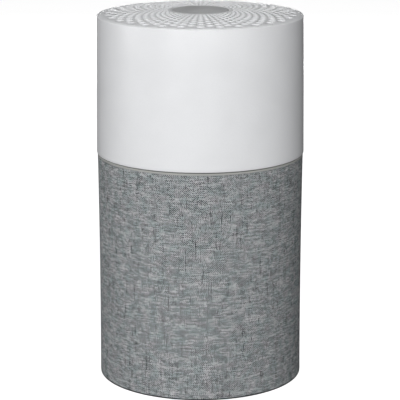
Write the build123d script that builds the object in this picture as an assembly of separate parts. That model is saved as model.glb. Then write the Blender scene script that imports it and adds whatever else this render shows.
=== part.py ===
from build123d import *
import math
import os

# Round air purifier: a white fan housing on a fabric-covered filter base.
# Millimetres, +Z up, origin on the floor at the centre of the base, front towards -Y.

# ---- Driving dimensions: outer shape ----
overall_height = 359.0          # floor to the top of the button
housing_radius = 100.1          # widest point, at the housing's lower edge
housing_draft = 1.4             # how much the housing narrows up to its rim
seam_height = 221.7             # floor to the housing's lower edge
rim_rounding = 1.2              # rounded upper edge of the housing
lip_wall = 1.6                  # the housing's wall beside the grille's edge
dome_rise = 5.0                 # the button's top above the housing's rim
housing_wall = 2.4

# ---- Fabric sleeve and its cage ----
sleeve_inset = 0.7              # sleeve's top edge behind the housing's face
sleeve_waist = 0.8              # how far the sleeve draws in at mid height
sleeve_foot_draw = 0.5          # how far it draws in at the floor
sleeve_thickness = 1.1
sleeve_fit = 0.15               # cage to sleeve
seam_groove = 1.0               # shadow gap under the housing
top_ring_height = 2.0
cage_depth = 2.6                # radial depth of ribs and hoops
cage_ribs = 24
cage_rib_width = 4.0
cage_hoop_height = 3.0
cage_rows = 4                   # rows of windows between hoops
cage_end_height = 8.0           # solid band at the top and the bottom

# ---- Base ----
foot_height = 1.2               # floor to the tray
foot_recess = 1.2
foot_radius = 9.0
foot_margin = 12.15             # pads' outer edge inside the tray's edge
foot_count = 4
tray_thickness = 3.0
filter_locator_height = 5.0
filter_locator_wall = 1.8
locator_fit = 0.4                # tray's locating ring inside the filter's bore
base_screw_count = 6

# ---- Filter ----
filter_gap = 3.8                # cage to filter
filter_bore_radius = 60.0
core_wall = 1.2
carbon_wall = 4.0
layer_gap = 0.4
cap_thickness = 6.5
pleat_count = 72
paper_thickness = 0.9
seal_width = 6.0
seal_height = 3.4
seal_squeeze_gap = 0.2          # filter seal to the deck's sealing flange
core_windows = 12
core_rows = 5
tab_margin = 1.1                # between the tab and the seal, and at the cap's edge
tab_length = 20.0
tab_corner = 3.0
tab_thickness = 1.0

# ---- Deck, guard and housing details ----
rest_gap = 0.2                  # upper unit above the sleeve's top ring
deck_thickness = 3.0
deck_recess = 0.2               # deck above the housing's lower edge
deck_opening_radius = 62.0
deck_skirt_wall = 2.0
deck_skirt_depth = 9.0
deck_fit = 0.3
seal_flange_width = 11.0
seal_flange_thickness = 2.0
deck_screw_inset = 11.7         # screws' axes inside the housing's wall
deck_screw_count = 6
deck_boss_radius = 4.0
deck_boss_height = 15.0
guard_thickness = 2.0
guard_bar = 1.8
guard_rings = 4
guard_spokes = 12
gland_height = 12.0             # cord gland above the housing's lower edge
gland_bore_radius = 3.1
gland_wall = 1.9
gland_collar = 2.0
gland_inside_length = 6.0

# ---- Screws ----
screw_shank_radius = 1.25
screw_hole_clearance = 0.05
screw_head_radius = 2.4
screw_head_height = 1.8
screw_length = 10.0

# ---- Fan and motor ----
vane_top_drop = 14.0            # guide vanes' top below the rim
vane_height = 40.0
vane_count = 17
vane_thickness = 1.8
vane_sweep = -24.0              # degrees, against the impeller's blades
vane_ring_wall = 2.2
vane_ring_gap = 1.3             # guide vane ring to the housing, at its tightest
hub_radius = 36.0
hub_wall = 2.0
hub_plate = 3.0
shroud_wall = 2.0
shroud_flange_share = 0.55      # flange's part of the deck between the shroud and the screw bosses
impeller_height = 53.0
impeller_gap = 4.0              # impeller to the guide vanes
tip_clearance = 1.4
blade_count = 13
blade_thickness = 1.8
blade_sweep = 42.0              # degrees from root to tip
hub_shell = 2.0
hub_top_radius = 62.0
hub_nose_radius = 12.0
shaft_radius = 3.0
running_fit = 0.04
close_fit = 0.05
bearing_radius = 6.95
bearing_height = 4.0
stem_radius = 8.0
stem_flange_radius = 18.0
stem_flange = 3.0
stator_radius = 27.0
stator_height = 16.0
stator_teeth = 12
tooth_width = 3.6
coil_build = 1.5
air_gap = 0.6
magnet_depth = 2.4
bell_wall = 2.0
bell_floor = 2.4
nut_flats = 10.0
nut_height = 4.0
board_margin = 3.0              # driver board's edge inside the hub's wall
board_thickness = 1.6
board_post_height = 9.0
board_post_radius = 3.0

# ---- Grille and button ----
grille_thickness = 2.5
grille_edge_gap = 0.2
grille_ledge = 3.1
grille_ledge_thickness = 2.2
grille_skirt_wall = 2.4
grille_skirt_depth = 2.7
holes_per_ring = 31
grille_outer_margin = 4.73      # solid band outside the outermost holes
ring_ratio = 1.0647             # each ring of holes to the next one inside it
hole_share = 0.0427             # hole radius over ring radius
grille_inner_margin = 1.6
button_radius = 27.4
button_gap = 0.35
button_travel = 1.2
button_plate = 2.4
button_skirt_wall = 1.8
button_skirt_depth = 5.0
collar_wall = 2.0
collar_depth = 11.0
button_base_thickness = 2.5
button_board_radius = 22.0
switch_side = 6.0
switch_height = 3.6
plunger_radius = 1.7
plunger_height = 1.6
button_post_radius = 3.0
button_post_gap = 0.2           # post to plunger with the button fully down

# ---- Derived places ----
rim_height = overall_height - dome_rise
rim_radius = housing_radius - housing_draft
sleeve_top_radius = housing_radius - sleeve_inset
top_ring_top = seam_height - seam_groove
top_ring_bottom = top_ring_top - top_ring_height
cage_inner = sleeve_top_radius - sleeve_waist - sleeve_thickness - sleeve_fit - cage_depth
tray_top = foot_height + tray_thickness
tray_radius = sleeve_top_radius - sleeve_waist - sleeve_thickness - sleeve_fit
foot_circle = tray_radius - foot_radius - foot_margin
filter_radius = cage_inner - filter_gap
deck_bottom = seam_height + deck_recess
deck_top = deck_bottom + deck_thickness
deck_screw_circle = housing_radius - housing_wall - deck_screw_inset
flange_bottom = top_ring_bottom - 10.0
seal_radius = deck_opening_radius + (seal_flange_width - seal_width) / 2
filter_seal_top = flange_bottom - seal_squeeze_gap
filter_cap_top = filter_seal_top - seal_height
media_bottom = tray_top + cap_thickness
media_top = filter_cap_top - cap_thickness
vane_top = rim_height - vane_top_drop
vane_bottom = vane_top - vane_height
impeller_top = vane_bottom - impeller_gap
impeller_bottom = impeller_top - impeller_height
gland_centre = seam_height + gland_height
stem_top = vane_bottom
stator_top = stem_top - 20.0
stator_bottom = stator_top - stator_height
stem_length = stem_top - stator_bottom + 2.0
board_radius = hub_radius - hub_wall - board_margin
magnet_inner = stator_radius + air_gap
magnet_outer = magnet_inner + magnet_depth
bell_radius = magnet_outer + close_fit + bell_wall
bell_bottom = stator_bottom - 8.0
bell_top = stator_top + 4.0
collar_inner = button_radius + button_gap
dome_sphere = (rim_radius ** 2 + dome_rise ** 2) / (2 * dome_rise)
dome_centre = overall_height - dome_sphere


def housing_inner_radius(height):
    """Inside radius of the housing's wall at a height."""
    share = (height - seam_height) / (rim_height - seam_height)
    return housing_radius - housing_draft * share - housing_wall


def dome_height(radius):
    """Height of the domed top at a distance from the axis."""
    return dome_centre + math.sqrt(dome_sphere ** 2 - radius ** 2)


def ring(inner, outer, bottom, top):
    """Round tube or washer about the axis."""
    return Pos(0, 0, bottom) * extrude(Circle(outer) - Circle(inner), top - bottom)


def disc(radius, bottom, top):
    """Solid round plate or rod about the axis."""
    return Pos(0, 0, bottom) * extrude(Circle(radius), top - bottom)


def turned(*points):
    """Solid of revolution from (radius, height) corners."""
    return revolve(Plane.XZ * make_face(Polyline(*points, close=True)), Axis.Z)


def around(count, piece, start=0.0):
    """Copies of a piece spaced evenly about the axis."""
    return [Rot(0, 0, start + 360 / count * i) * piece for i in range(count)]


def group(pieces):
    """Several separate solids kept as one sub-part."""
    return Compound([piece.solid() for piece in pieces])


def screw(head_bottom_up):
    """Pan-head screw with its shank pointing up from a head at the given height."""
    head = disc(screw_head_radius, head_bottom_up - screw_head_height, head_bottom_up)
    shank = disc(screw_shank_radius, head_bottom_up, head_bottom_up + screw_length)
    return head + shank


# ---- Base and sleeve ----

def foot_pads():
    pad = Pos(foot_circle, 0, 0) * disc(foot_radius, 0, foot_height + foot_recess)
    return group(around(foot_count, pad, 45))


def base_screw_place():
    """Radius of the circle of screws between tray and cage, just inside the cage's wall."""
    return cage_inner - screw_shank_radius / 2


def base_tray():
    tray = disc(tray_radius, foot_height, tray_top)
    tray = chamfer(tray.edges().group_by(Axis.Z)[0], 0.8)
    recess = Pos(foot_circle, 0, foot_height) * disc(foot_radius + 0.15, 0, foot_recess)
    tray -= around(foot_count, recess, 45)
    locator_outer = filter_bore_radius - locator_fit
    locator = ring(
        locator_outer - filter_locator_wall, locator_outer, tray_top, tray_top + filter_locator_height
    )
    hole = Pos(base_screw_place(), 0, foot_height) * (
        disc(screw_shank_radius + screw_hole_clearance, 0, tray_thickness)
        + disc(screw_head_radius + 0.2, 0, screw_head_height)
    )
    return tray + locator - around(base_screw_count, hole, 30)


def base_screws():
    one = Pos(base_screw_place(), 0, 0) * screw(foot_height + screw_head_height)
    return group(around(base_screw_count, one, 30))


def sleeve_arc(offset, bottom, top):
    """The sleeve's bowed side, drawn in by an offset, from bottom to top."""
    outer = sleeve_top_radius - offset
    middle = (bottom + top) / 2
    return ThreePointArc(
        (outer - sleeve_foot_draw, bottom), (outer - sleeve_waist, middle), (outer, top)
    )


def bowed_tube(outer_offset, inner_offset, bottom, top):
    """Tube between two bowed sides."""
    outside = sleeve_arc(outer_offset, bottom, top)
    inside = sleeve_arc(inner_offset, bottom, top)
    edges = [outside, inside, Line(outside @ 0, inside @ 0), Line(outside @ 1, inside @ 1)]
    return revolve(Plane.XZ * make_face(Wire(edges)), Axis.Z)


def fabric_sleeve():
    return bowed_tube(0, sleeve_thickness, foot_height + 0.2, top_ring_bottom)


def sleeve_top_ring():
    body = ring(cage_inner, sleeve_top_radius, top_ring_bottom, top_ring_top)
    return fillet(body.edges().filter_by(GeomType.CIRCLE).group_by(Axis.Z)[-1], 0.5)


def sleeve_cage():
    offset = sleeve_thickness + sleeve_fit
    wall = turned(
        (cage_inner, tray_top),
        (tray_radius, tray_top),
        (tray_radius, top_ring_bottom),
        (cage_inner, top_ring_bottom),
    )
    band = ring(
        cage_inner,
        sleeve_top_radius - offset - sleeve_waist / 2,
        top_ring_bottom - cage_end_height / 2,
        top_ring_bottom,
    )
    low, high = tray_top + cage_end_height, top_ring_bottom - cage_end_height
    row = (high - low + cage_hoop_height) / cage_rows
    pitch_width = 2 * math.pi * cage_inner / cage_ribs
    window = Pos(tray_radius, 0, 0) * Box(
        4 * cage_depth, pitch_width - cage_rib_width, row - cage_hoop_height
    )
    windows = []
    for level in range(cage_rows):
        middle = low + row * level + (row - cage_hoop_height) / 2
        windows += around(cage_ribs, Pos(0, 0, middle) * window)
    boss = Pos(base_screw_place(), 0, 0) * disc(2.2 * screw_shank_radius, tray_top, low)
    hole = Pos(base_screw_place(), 0, 0) * disc(
        screw_shank_radius + screw_hole_clearance, tray_top, low + 1.0
    )
    bosses = [piece & disc(tray_radius, tray_top, low) for piece in around(base_screw_count, boss, 30)]
    return (wall - windows) + band + bosses - around(base_screw_count, hole, 30)


# ---- Filter ----

def filter_lower_cap():
    return ring(filter_bore_radius, filter_radius, tray_top, media_bottom)


def filter_upper_cap():
    return ring(filter_bore_radius, filter_radius, media_top, filter_cap_top)


def filter_seal():
    return ring(seal_radius, seal_radius + seal_width, filter_cap_top, filter_seal_top)


def filter_pull_tab():
    inner, outer = seal_radius + seal_width, filter_radius
    width = outer - inner - 2 * tab_margin
    tab = Pos(0, -(inner + outer) / 2, filter_cap_top + tab_thickness / 2) * Box(
        tab_length, width, tab_thickness
    )
    return fillet(tab.edges().filter_by(Axis.Z), min(tab_corner, width / 3))


def filter_core():
    tube = ring(filter_bore_radius, filter_bore_radius + core_wall, media_bottom, media_top)
    row = (media_top - media_bottom) / core_rows
    width = 2 * math.pi * filter_bore_radius / core_windows * 0.7
    window = Pos(filter_bore_radius, 0, 0) * Box(6 * core_wall, width, row * 0.8)
    windows = []
    for level in range(core_rows):
        windows += around(core_windows, Pos(0, 0, media_bottom + row * (level + 0.5)) * window)
    return tube - windows


def carbon_layer():
    inner = filter_bore_radius + core_wall + layer_gap
    return ring(inner, inner + carbon_wall, media_bottom, media_top)


def filter_media():
    inner = filter_bore_radius + core_wall + carbon_wall + 2 * layer_gap
    outer = filter_radius - 1.0
    folds = 2 * pleat_count
    step = math.pi / pleat_count

    def fold_line(inner_radius, outer_radius):
        radii = [outer_radius if i % 2 else inner_radius for i in range(folds)]
        corners = [(r * math.cos(i * step), r * math.sin(i * step)) for i, r in enumerate(radii)]
        return Polyline(*corners, close=True)

    slant = paper_thickness / math.sin(math.atan(inner * step / (outer - inner)))
    outside = make_face(fold_line(inner + slant, outer))
    inside = make_face(fold_line(inner, outer - slant))
    return Pos(0, 0, media_bottom) * extrude(outside - inside, media_top - media_bottom)


# ---- Housing ----

def housing_shell():
    shoulder = rim_radius - rim_rounding
    centre_height = dome_height(shoulder) - rim_rounding
    lip = rim_radius - lip_wall
    half = math.sqrt(0.5) * rim_rounding
    ledge_top = grille_bottom()
    ledge_inner = lip - grille_ledge
    ledge_bottom = ledge_top - grille_ledge_thickness
    slope_end = ledge_bottom - grille_ledge
    arc = ThreePointArc(
        (rim_radius, centre_height),
        (shoulder + half, centre_height + half),
        (shoulder, centre_height + rim_rounding),
    )
    rest = Polyline(
        (shoulder, centre_height + rim_rounding),
        (lip, dome_height(lip)),
        (lip, ledge_top),
        (ledge_inner, ledge_top),
        (ledge_inner, ledge_bottom),
        (housing_inner_radius(slope_end), slope_end),
        (housing_radius - housing_wall, seam_height),
        (housing_radius, seam_height),
        (rim_radius, centre_height),
    )
    shell = revolve(Plane.XZ * make_face(Wire([arc, *rest.edges()])), Axis.Z)
    boss = Pos(deck_screw_circle, 0, 0) * disc(deck_boss_radius, deck_top, deck_top + deck_boss_height)
    reach = housing_inner_radius(deck_top) + housing_wall / 2 - deck_screw_circle
    rib = Pos(deck_screw_circle + reach / 2, 0, deck_top + deck_boss_height / 2) * Box(
        reach, 2.4, deck_boss_height
    )
    bore = Pos(deck_screw_circle, 0, 0) * disc(
        screw_shank_radius + screw_hole_clearance, deck_top, deck_top + screw_length
    )
    shell = shell + around(deck_screw_count, boss + rib) - around(deck_screw_count, bore)
    seat = gland_rod(gland_bore_radius + gland_wall + close_fit, housing_radius - 4 * housing_wall, 120)
    return shell - seat


def gland_rod(radius, start, end):
    """Round bar along +Y through the gland's centre."""
    return Pos(0, start, gland_centre) * Rot(-90, 0, 0) * extrude(Circle(radius), end - start)


def gland_face():
    """Outer face of the gland, flush with the housing at its edges."""
    share = gland_height / (rim_height - seam_height)
    return housing_radius - housing_draft * share - 0.2


def gland_seat_face():
    """Flat inside face that the gland's collar comes up to."""
    reach = gland_bore_radius + gland_wall + gland_collar
    inner = housing_inner_radius(gland_centre + reach)
    return math.sqrt(inner ** 2 - reach ** 2) - 0.1


def cord_gland():
    seat = gland_seat_face()
    barrel = gland_rod(gland_bore_radius + gland_wall, seat - gland_inside_length, gland_face())
    collar = gland_rod(gland_bore_radius + gland_wall + gland_collar, seat - 2.0, seat)
    return barrel + collar - gland_rod(gland_bore_radius, seat - 2 * gland_inside_length, 120)


def lower_deck():
    outer = housing_inner_radius(deck_bottom) - 0.2
    skirt_outer = cage_inner - deck_fit
    skirt_inner = skirt_outer - deck_skirt_wall
    rest = top_ring_top + rest_gap
    skirt_bottom = rest - deck_skirt_depth
    throat = deck_opening_radius + seal_flange_thickness
    deck = turned(
        (deck_opening_radius, flange_bottom),
        (deck_opening_radius + seal_flange_width, flange_bottom),
        (deck_opening_radius + seal_flange_width, flange_bottom + seal_flange_thickness),
        (throat, flange_bottom + seal_flange_thickness),
        (throat, deck_bottom),
        (skirt_inner, deck_bottom),
        (skirt_inner, skirt_bottom),
        (skirt_outer, skirt_bottom),
        (skirt_outer, rest),
        (outer - 0.6, rest),
        (outer, deck_bottom),
        (outer, deck_top),
        (deck_opening_radius, deck_top),
    )
    hole = Pos(deck_screw_circle, 0, 0) * disc(
        screw_shank_radius + screw_hole_clearance, deck_bottom, deck_top
    )
    return deck - around(deck_screw_count, hole)


def deck_screws():
    one = Pos(deck_screw_circle, 0, 0) * screw(deck_bottom)
    return group(around(deck_screw_count, one))


def inlet_guard():
    outer = deck_opening_radius - 0.15
    top, bottom = deck_top, deck_top - guard_thickness
    guard = ring(outer - guard_bar, outer, bottom, top) + disc(hub_nose_radius, bottom, top)
    step = (outer - guard_bar - hub_nose_radius) / (guard_rings + 1)
    for i in range(guard_rings):
        radius = hub_nose_radius + step * (i + 1)
        guard += ring(radius, radius + guard_bar, bottom, top)
    reach = outer - guard_bar / 2 - hub_nose_radius / 2
    middle = Pos((hub_nose_radius + reach) / 2, 0, (top + bottom) / 2)
    spoke = middle * Box(reach, guard_bar, guard_thickness)
    return guard + around(guard_spokes, spoke)


# ---- Fan ----

def shroud_top_radius():
    return vane_ring_outer() - vane_ring_wall


def vane_ring_outer():
    return housing_inner_radius(vane_top) - vane_ring_gap


def shroud_side(offset):
    """The air path's outer wall, drawn in by an offset: a throat and then a flare."""
    throat = (deck_opening_radius - offset, impeller_bottom)
    mouth = (shroud_top_radius() - offset, vane_bottom)
    belly = (
        throat[0] + (mouth[0] - throat[0]) * 0.62,
        throat[1] + (mouth[1] - throat[1]) * 0.5,
    )
    return ThreePointArc(throat, belly, mouth)


def fan_shroud():
    inside = shroud_side(0)
    outside = shroud_side(-shroud_wall)
    wall = deck_opening_radius + shroud_wall
    flange = wall + shroud_flange_share * (deck_screw_circle - deck_boss_radius - wall)
    bottom = Polyline(
        inside @ 0,
        (deck_opening_radius, deck_top),
        (flange, deck_top),
        (flange, deck_top + shroud_wall),
        (wall, deck_top + shroud_wall),
        outside @ 0,
    )
    edges = [inside, outside, *bottom.edges(), Line(inside @ 1, outside @ 1)]
    return revolve(Plane.XZ * make_face(Wire(edges)), Axis.Z)


def hub_profile(inset):
    """The impeller hub's flare, drawn in by an inset: (radius, height) corners from the nose up."""
    return [
        (hub_nose_radius + 16 - inset, impeller_bottom + 3 + inset),
        (bell_radius + 8 - inset, bell_bottom + inset / 2),
        (hub_top_radius - inset, impeller_top),
    ]


def impeller():
    outside, inside = hub_profile(0), hub_profile(hub_shell)
    hub = turned(
        (shaft_radius + close_fit, impeller_bottom),
        (hub_nose_radius, impeller_bottom),
        *outside,
        *reversed(inside[1:]),
        (bell_radius + 2, bell_bottom - close_fit),
        (shaft_radius + close_fit, bell_bottom - close_fit),
    )
    tip = shroud_side(tip_clearance)
    root_radius = hub_top_radius - hub_shell / 2
    root = Polyline(
        tip @ 0,
        (outside[0][0] - hub_shell / 2, impeller_bottom),
        (outside[0][0] - hub_shell / 2, outside[0][1]),
        outside[1],
        (root_radius, impeller_top),
        (root_radius, vane_bottom),
        tip @ 1,
    )
    air_path = revolve(Plane.XZ * make_face(Wire([tip, *root.edges()])), Axis.Z)
    air_path &= disc(housing_radius, impeller_bottom, impeller_top)
    plate = swept_plate(
        hub_nose_radius, shroud_top_radius(), blade_sweep, blade_thickness, impeller_bottom, impeller_top
    )
    return hub + [blade & air_path for blade in around(blade_count, plate)]


def swept_plate(inner, outer, sweep, thickness, bottom, top):
    """Upright plate curved in plan, from one radius to another over an angle."""
    end = math.radians(sweep)
    middle_radius = (inner + outer) / 2
    lag = end * 0.35
    line = ThreePointArc(
        (inner, 0),
        (middle_radius * math.cos(lag), middle_radius * math.sin(lag)),
        (outer * math.cos(end), outer * math.sin(end)),
    )
    return Pos(0, 0, bottom) * extrude(trace(line, thickness), top - bottom)


def guide_vanes():
    outer = vane_ring_outer()
    inner = outer - vane_ring_wall
    frame = ring(inner, outer, vane_bottom, vane_top)
    hub = disc(hub_radius, vane_bottom, vane_top) - disc(
        hub_radius - hub_wall, vane_bottom + hub_plate, vane_top
    )
    plate = swept_plate(
        hub_radius - hub_wall / 2, outer - vane_ring_wall / 2, vane_sweep, vane_thickness,
        vane_bottom + 1, vane_top - 1,
    )
    post = Pos(board_radius - 5, 0, 0) * disc(
        board_post_radius, vane_bottom + hub_plate, vane_bottom + hub_plate + board_post_height
    )
    return frame + hub + around(vane_count, plate) + around(3, post)


def hub_cover():
    lid = disc(hub_radius, vane_top, vane_top + 2)
    plug = ring(hub_radius - hub_wall - 2.2, hub_radius - hub_wall - 0.2, vane_top - 4, vane_top)
    return lid + plug


def driver_board():
    level = vane_bottom + hub_plate + board_post_height
    return disc(board_radius, level, level + board_thickness)


def board_parts():
    level = vane_bottom + hub_plate + board_post_height + board_thickness
    capacitor = disc(5, level, level + 14)
    chip = Pos(0, 0, level + 1) * Box(8, 8, 2)
    plug = Pos(0, 0, level + 3.5) * Box(12, 6, 7)
    return group([
        Pos(14, 8, 0) * capacitor,
        Pos(14, -8, 0) * capacitor,
        chip,
        Pos(-16, 0, 0) * Rot(0, 0, 90) * plug,
    ])


# ---- Motor ----

def bearing_stem():
    tube = ring(bearing_radius + close_fit, stem_radius, stem_top - stem_length, stem_top)
    return tube + ring(bearing_radius + close_fit, stem_flange_radius, stem_top - stem_flange, stem_top)


def motor_bearings():
    low = stem_top - stem_length + 2
    high = stem_top - stem_flange - bearing_height - 2
    return group([
        ring(shaft_radius + running_fit, bearing_radius, level, level + bearing_height)
        for level in (low, high)
    ])


def motor_stator():
    core = ring(stem_radius + close_fit, stem_radius + 5, stator_bottom, stator_top)
    tooth = Pos((stem_radius + 4 + stator_radius - 2) / 2, 0, (stator_bottom + stator_top) / 2) * Box(
        stator_radius - 2 - stem_radius - 4, tooth_width, stator_height
    )
    shoe_ring = ring(stator_radius - 3, stator_radius, stator_bottom, stator_top)
    gap = Pos(stator_radius, 0, (stator_bottom + stator_top) / 2) * Box(8, 3, stator_height)
    shoes = shoe_ring - around(stator_teeth, gap, 180 / stator_teeth)
    return core + around(stator_teeth, tooth) + shoes


def motor_windings():
    inner, outer = stem_radius + 7.5, stator_radius - 3.3
    middle = Pos((inner + outer) / 2, 0, (stator_bottom + stator_top) / 2)
    width = tooth_width + 2 * close_fit
    height = stator_height + 2 * close_fit
    coil = Box(outer - inner, width + 2 * coil_build, height + 2 * coil_build) - Box(
        outer - inner, width, height
    )
    return group(around(stator_teeth, middle * coil))


def rotor_bell():
    cup = disc(bell_radius, bell_bottom, bell_top) - disc(
        bell_radius - bell_wall, bell_bottom + bell_floor, bell_top
    )
    return cup - disc(shaft_radius + close_fit, bell_bottom, bell_top)


def rotor_magnets():
    return ring(magnet_inner, magnet_outer, stator_bottom - 2, stator_top + 2)


def motor_shaft():
    return disc(shaft_radius, impeller_bottom - nut_height - 1, stem_top - 1)


def impeller_nut():
    outline = RegularPolygon(nut_flats / 2, 6, major_radius=False) - Circle(shaft_radius + close_fit)
    return Pos(0, 0, impeller_bottom - nut_height) * extrude(outline, nut_height)


# ---- Grille and button ----

def grille_bottom():
    return dome_height(grille_edge()) - grille_skirt_depth


def grille_edge():
    """Outer radius of the grille, just inside the housing's lip."""
    return rim_radius - lip_wall - grille_edge_gap


def top_grille():
    edge = grille_edge()
    dome = Pos(0, 0, dome_centre) * (Sphere(dome_sphere) - Sphere(dome_sphere - grille_thickness))
    plate = dome & ring(collar_inner, edge, rim_height - 20, overall_height + 20)
    skirt = ring(edge - grille_skirt_wall, edge, grille_bottom(), dome_height(edge) - 0.5)
    collar = ring(
        collar_inner, collar_inner + collar_wall, well_floor(), dome_height(collar_inner) - 1.0
    )
    return (plate - grille_holes()) + skirt + collar


def grille_holes():
    """Drills for rings of holes that shrink towards the centre, each ring half a pitch round."""
    drills = []
    radius, count = (grille_edge() - grille_outer_margin) / (1 + hole_share), 0
    innermost = collar_inner + collar_wall + grille_inner_margin
    while radius * (1 - hole_share) > innermost:
        tilt = math.degrees(math.asin(radius / dome_sphere))
        drill = Pos(0, 0, dome_centre) * Rot(0, tilt, 0) * Pos(0, 0, dome_sphere - grille_thickness / 2)
        start = -90 + (count % 2) * 180 / holes_per_ring
        drills += around(
            holes_per_ring, drill * Cylinder(radius * hole_share, 2 * grille_thickness), start
        )
        radius /= ring_ratio
        count += 1
    return drills


def well_floor():
    """Height of the floor of the well that holds the button's switch."""
    return overall_height - collar_depth - grille_thickness


def plunger_top():
    """Height of the switch's plunger at rest."""
    return well_floor() + board_thickness + switch_height + plunger_height


def button_base():
    return disc(collar_inner + collar_wall, well_floor() - button_base_thickness, well_floor())


def button_board():
    return disc(button_board_radius, well_floor(), well_floor() + board_thickness)


def tact_switch():
    level = well_floor() + board_thickness
    body = Pos(0, 0, level + switch_height / 2) * Box(switch_side, switch_side, switch_height)
    return body + disc(plunger_radius, level + switch_height, plunger_top())


def button_cap():
    plate = disc(button_radius, overall_height - button_plate, overall_height)
    plate = fillet(plate.edges().group_by(Axis.Z)[-1], 0.6)
    under = overall_height - button_plate
    skirt = ring(button_radius - button_skirt_wall, button_radius, under - button_skirt_depth, under)
    post = disc(button_post_radius, plunger_top() + button_travel + button_post_gap, under)
    return plate + skirt + post


sub_parts = {
    "foot_pads": foot_pads,
    "base_tray": base_tray,
    "base_screws": base_screws,
    "sleeve_cage": sleeve_cage,
    "fabric_sleeve": fabric_sleeve,
    "sleeve_top_ring": sleeve_top_ring,
    "filter_lower_cap": filter_lower_cap,
    "filter_upper_cap": filter_upper_cap,
    "filter_seal": filter_seal,
    "filter_pull_tab": filter_pull_tab,
    "filter_core": filter_core,
    "carbon_layer": carbon_layer,
    "filter_media": filter_media,
    "housing_shell": housing_shell,
    "cord_gland": cord_gland,
    "lower_deck": lower_deck,
    "deck_screws": deck_screws,
    "inlet_guard": inlet_guard,
    "fan_shroud": fan_shroud,
    "guide_vanes": guide_vanes,
    "hub_cover": hub_cover,
    "driver_board": driver_board,
    "board_parts": board_parts,
    "bearing_stem": bearing_stem,
    "motor_bearings": motor_bearings,
    "motor_stator": motor_stator,
    "motor_windings": motor_windings,
    "top_grille": top_grille,
    "button_base": button_base,
    "button_board": button_board,
    "tact_switch": tact_switch,
    "impeller": impeller,
    "impeller_nut": impeller_nut,
    "rotor_bell": rotor_bell,
    "rotor_magnets": rotor_magnets,
    "motor_shaft": motor_shaft,
    "button_cap": button_cap,
}

if __name__ == "__main__":
    os.makedirs("parts", exist_ok=True)
    for node, make in sub_parts.items():
        export_step(make(), f"parts/{node}.step", write_pcurves=False)
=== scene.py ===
import math

import bmesh
import bpy
from mathutils import Matrix, Vector


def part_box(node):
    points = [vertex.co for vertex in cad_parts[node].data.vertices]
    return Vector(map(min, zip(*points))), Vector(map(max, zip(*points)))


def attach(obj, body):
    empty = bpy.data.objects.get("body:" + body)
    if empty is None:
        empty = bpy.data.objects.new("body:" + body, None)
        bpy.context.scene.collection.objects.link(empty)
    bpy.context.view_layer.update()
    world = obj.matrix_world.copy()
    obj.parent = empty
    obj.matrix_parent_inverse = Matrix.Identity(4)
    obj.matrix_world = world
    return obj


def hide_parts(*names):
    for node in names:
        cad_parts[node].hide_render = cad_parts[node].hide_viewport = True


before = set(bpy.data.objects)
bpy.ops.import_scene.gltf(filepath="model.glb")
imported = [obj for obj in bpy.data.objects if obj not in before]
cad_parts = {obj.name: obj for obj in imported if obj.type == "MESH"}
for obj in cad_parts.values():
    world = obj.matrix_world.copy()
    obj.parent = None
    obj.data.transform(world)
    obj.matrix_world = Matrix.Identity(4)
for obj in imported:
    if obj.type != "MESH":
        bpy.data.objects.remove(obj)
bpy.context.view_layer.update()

bl_info = {
    "name": "Round Air Purifier",
    "version": (1, 0, 0),
    "blender": (4, 5, 0),
    "location": "View3D > Sidebar > Purifier",
    "description": "Builds the looks of a round air purifier around its CAD frame",
    "category": "Object",
}

MM = 0.001
HOUSING_LOW, HOUSING_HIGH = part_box("housing_shell")
GRILLE_LOW, GRILLE_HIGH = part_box("top_grille")
BUTTON_LOW, BUTTON_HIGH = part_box("button_cap")
SWITCH_LOW, SWITCH_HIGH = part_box("tact_switch")
SLEEVE_LOW, SLEEVE_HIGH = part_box("fabric_sleeve")
RING_LOW, RING_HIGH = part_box("sleeve_top_ring")
PADS_LOW, PADS_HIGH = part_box("foot_pads")
GLAND_LOW, GLAND_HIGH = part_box("cord_gland")
# From the foot of the grille's collar up to the ledge that its skirt rests on.
GRILLE_LEDGE = 5.98 * MM
LEDGE_WIDTH = 3.1 * MM
LEDGE_THICKNESS = 2.2 * MM
SKIRT_DEPTH = 2.7 * MM
COLLAR_DEPTH = 11.0 * MM
BUTTON_GAP = 0.35 * MM
BUTTON_PLATE = 2.4 * MM
BUTTON_SKIRT = 1.8 * MM
BUTTON_POST = 3.0 * MM
# The post stops short of the switch by the button's travel and a small gap.
BUTTON_REACH = 1.4 * MM
SLEEVE_RING_WIDTH = 4.8 * MM
GLAND_COLLAR = 2.0 * MM
GLAND_WALL = 1.9 * MM
GLAND_SEAT = 6.0 * MM
FOOT_RADIUS = 9.0 * MM


def srgb(code):
    """Linear red, green and blue of an sRGB hex colour."""
    parts = [int(code[i:i + 2], 16) / 255 for i in (1, 3, 5)]
    return tuple(c / 12.92 if c <= 0.04045 else ((c + 0.055) / 1.055) ** 2.4 for c in parts)


# ---- Settings that a user would change ----

def length(name, description, value):
    return bpy.props.FloatProperty(
        name=name, description=description, default=value, min=0.0, unit="LENGTH", precision=5
    )


def colour(name, description, code):
    return bpy.props.FloatVectorProperty(
        name=name, description=description, default=srgb(code), size=3, min=0.0, max=1.0, subtype="COLOR"
    )


class HousingSettings(bpy.types.PropertyGroup):
    draft: length("Draft", "How much the housing narrows from its lower edge to its rim", 1.4 * MM)
    rounding: length("Rim rounding", "Radius of the housing's rounded upper edge", 1.2 * MM)
    lip: length("Lip", "Width of the rim beside the grille's edge", 1.6 * MM)
    wall: length("Wall", "Thickness of the moulded wall", 2.4 * MM)
    edge: length("Edge break", "Small rounding on the moulded edges", 0.35 * MM)
    shell_colour: colour("Shell", "White of the housing and the grille", "#ECEDEF")


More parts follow.
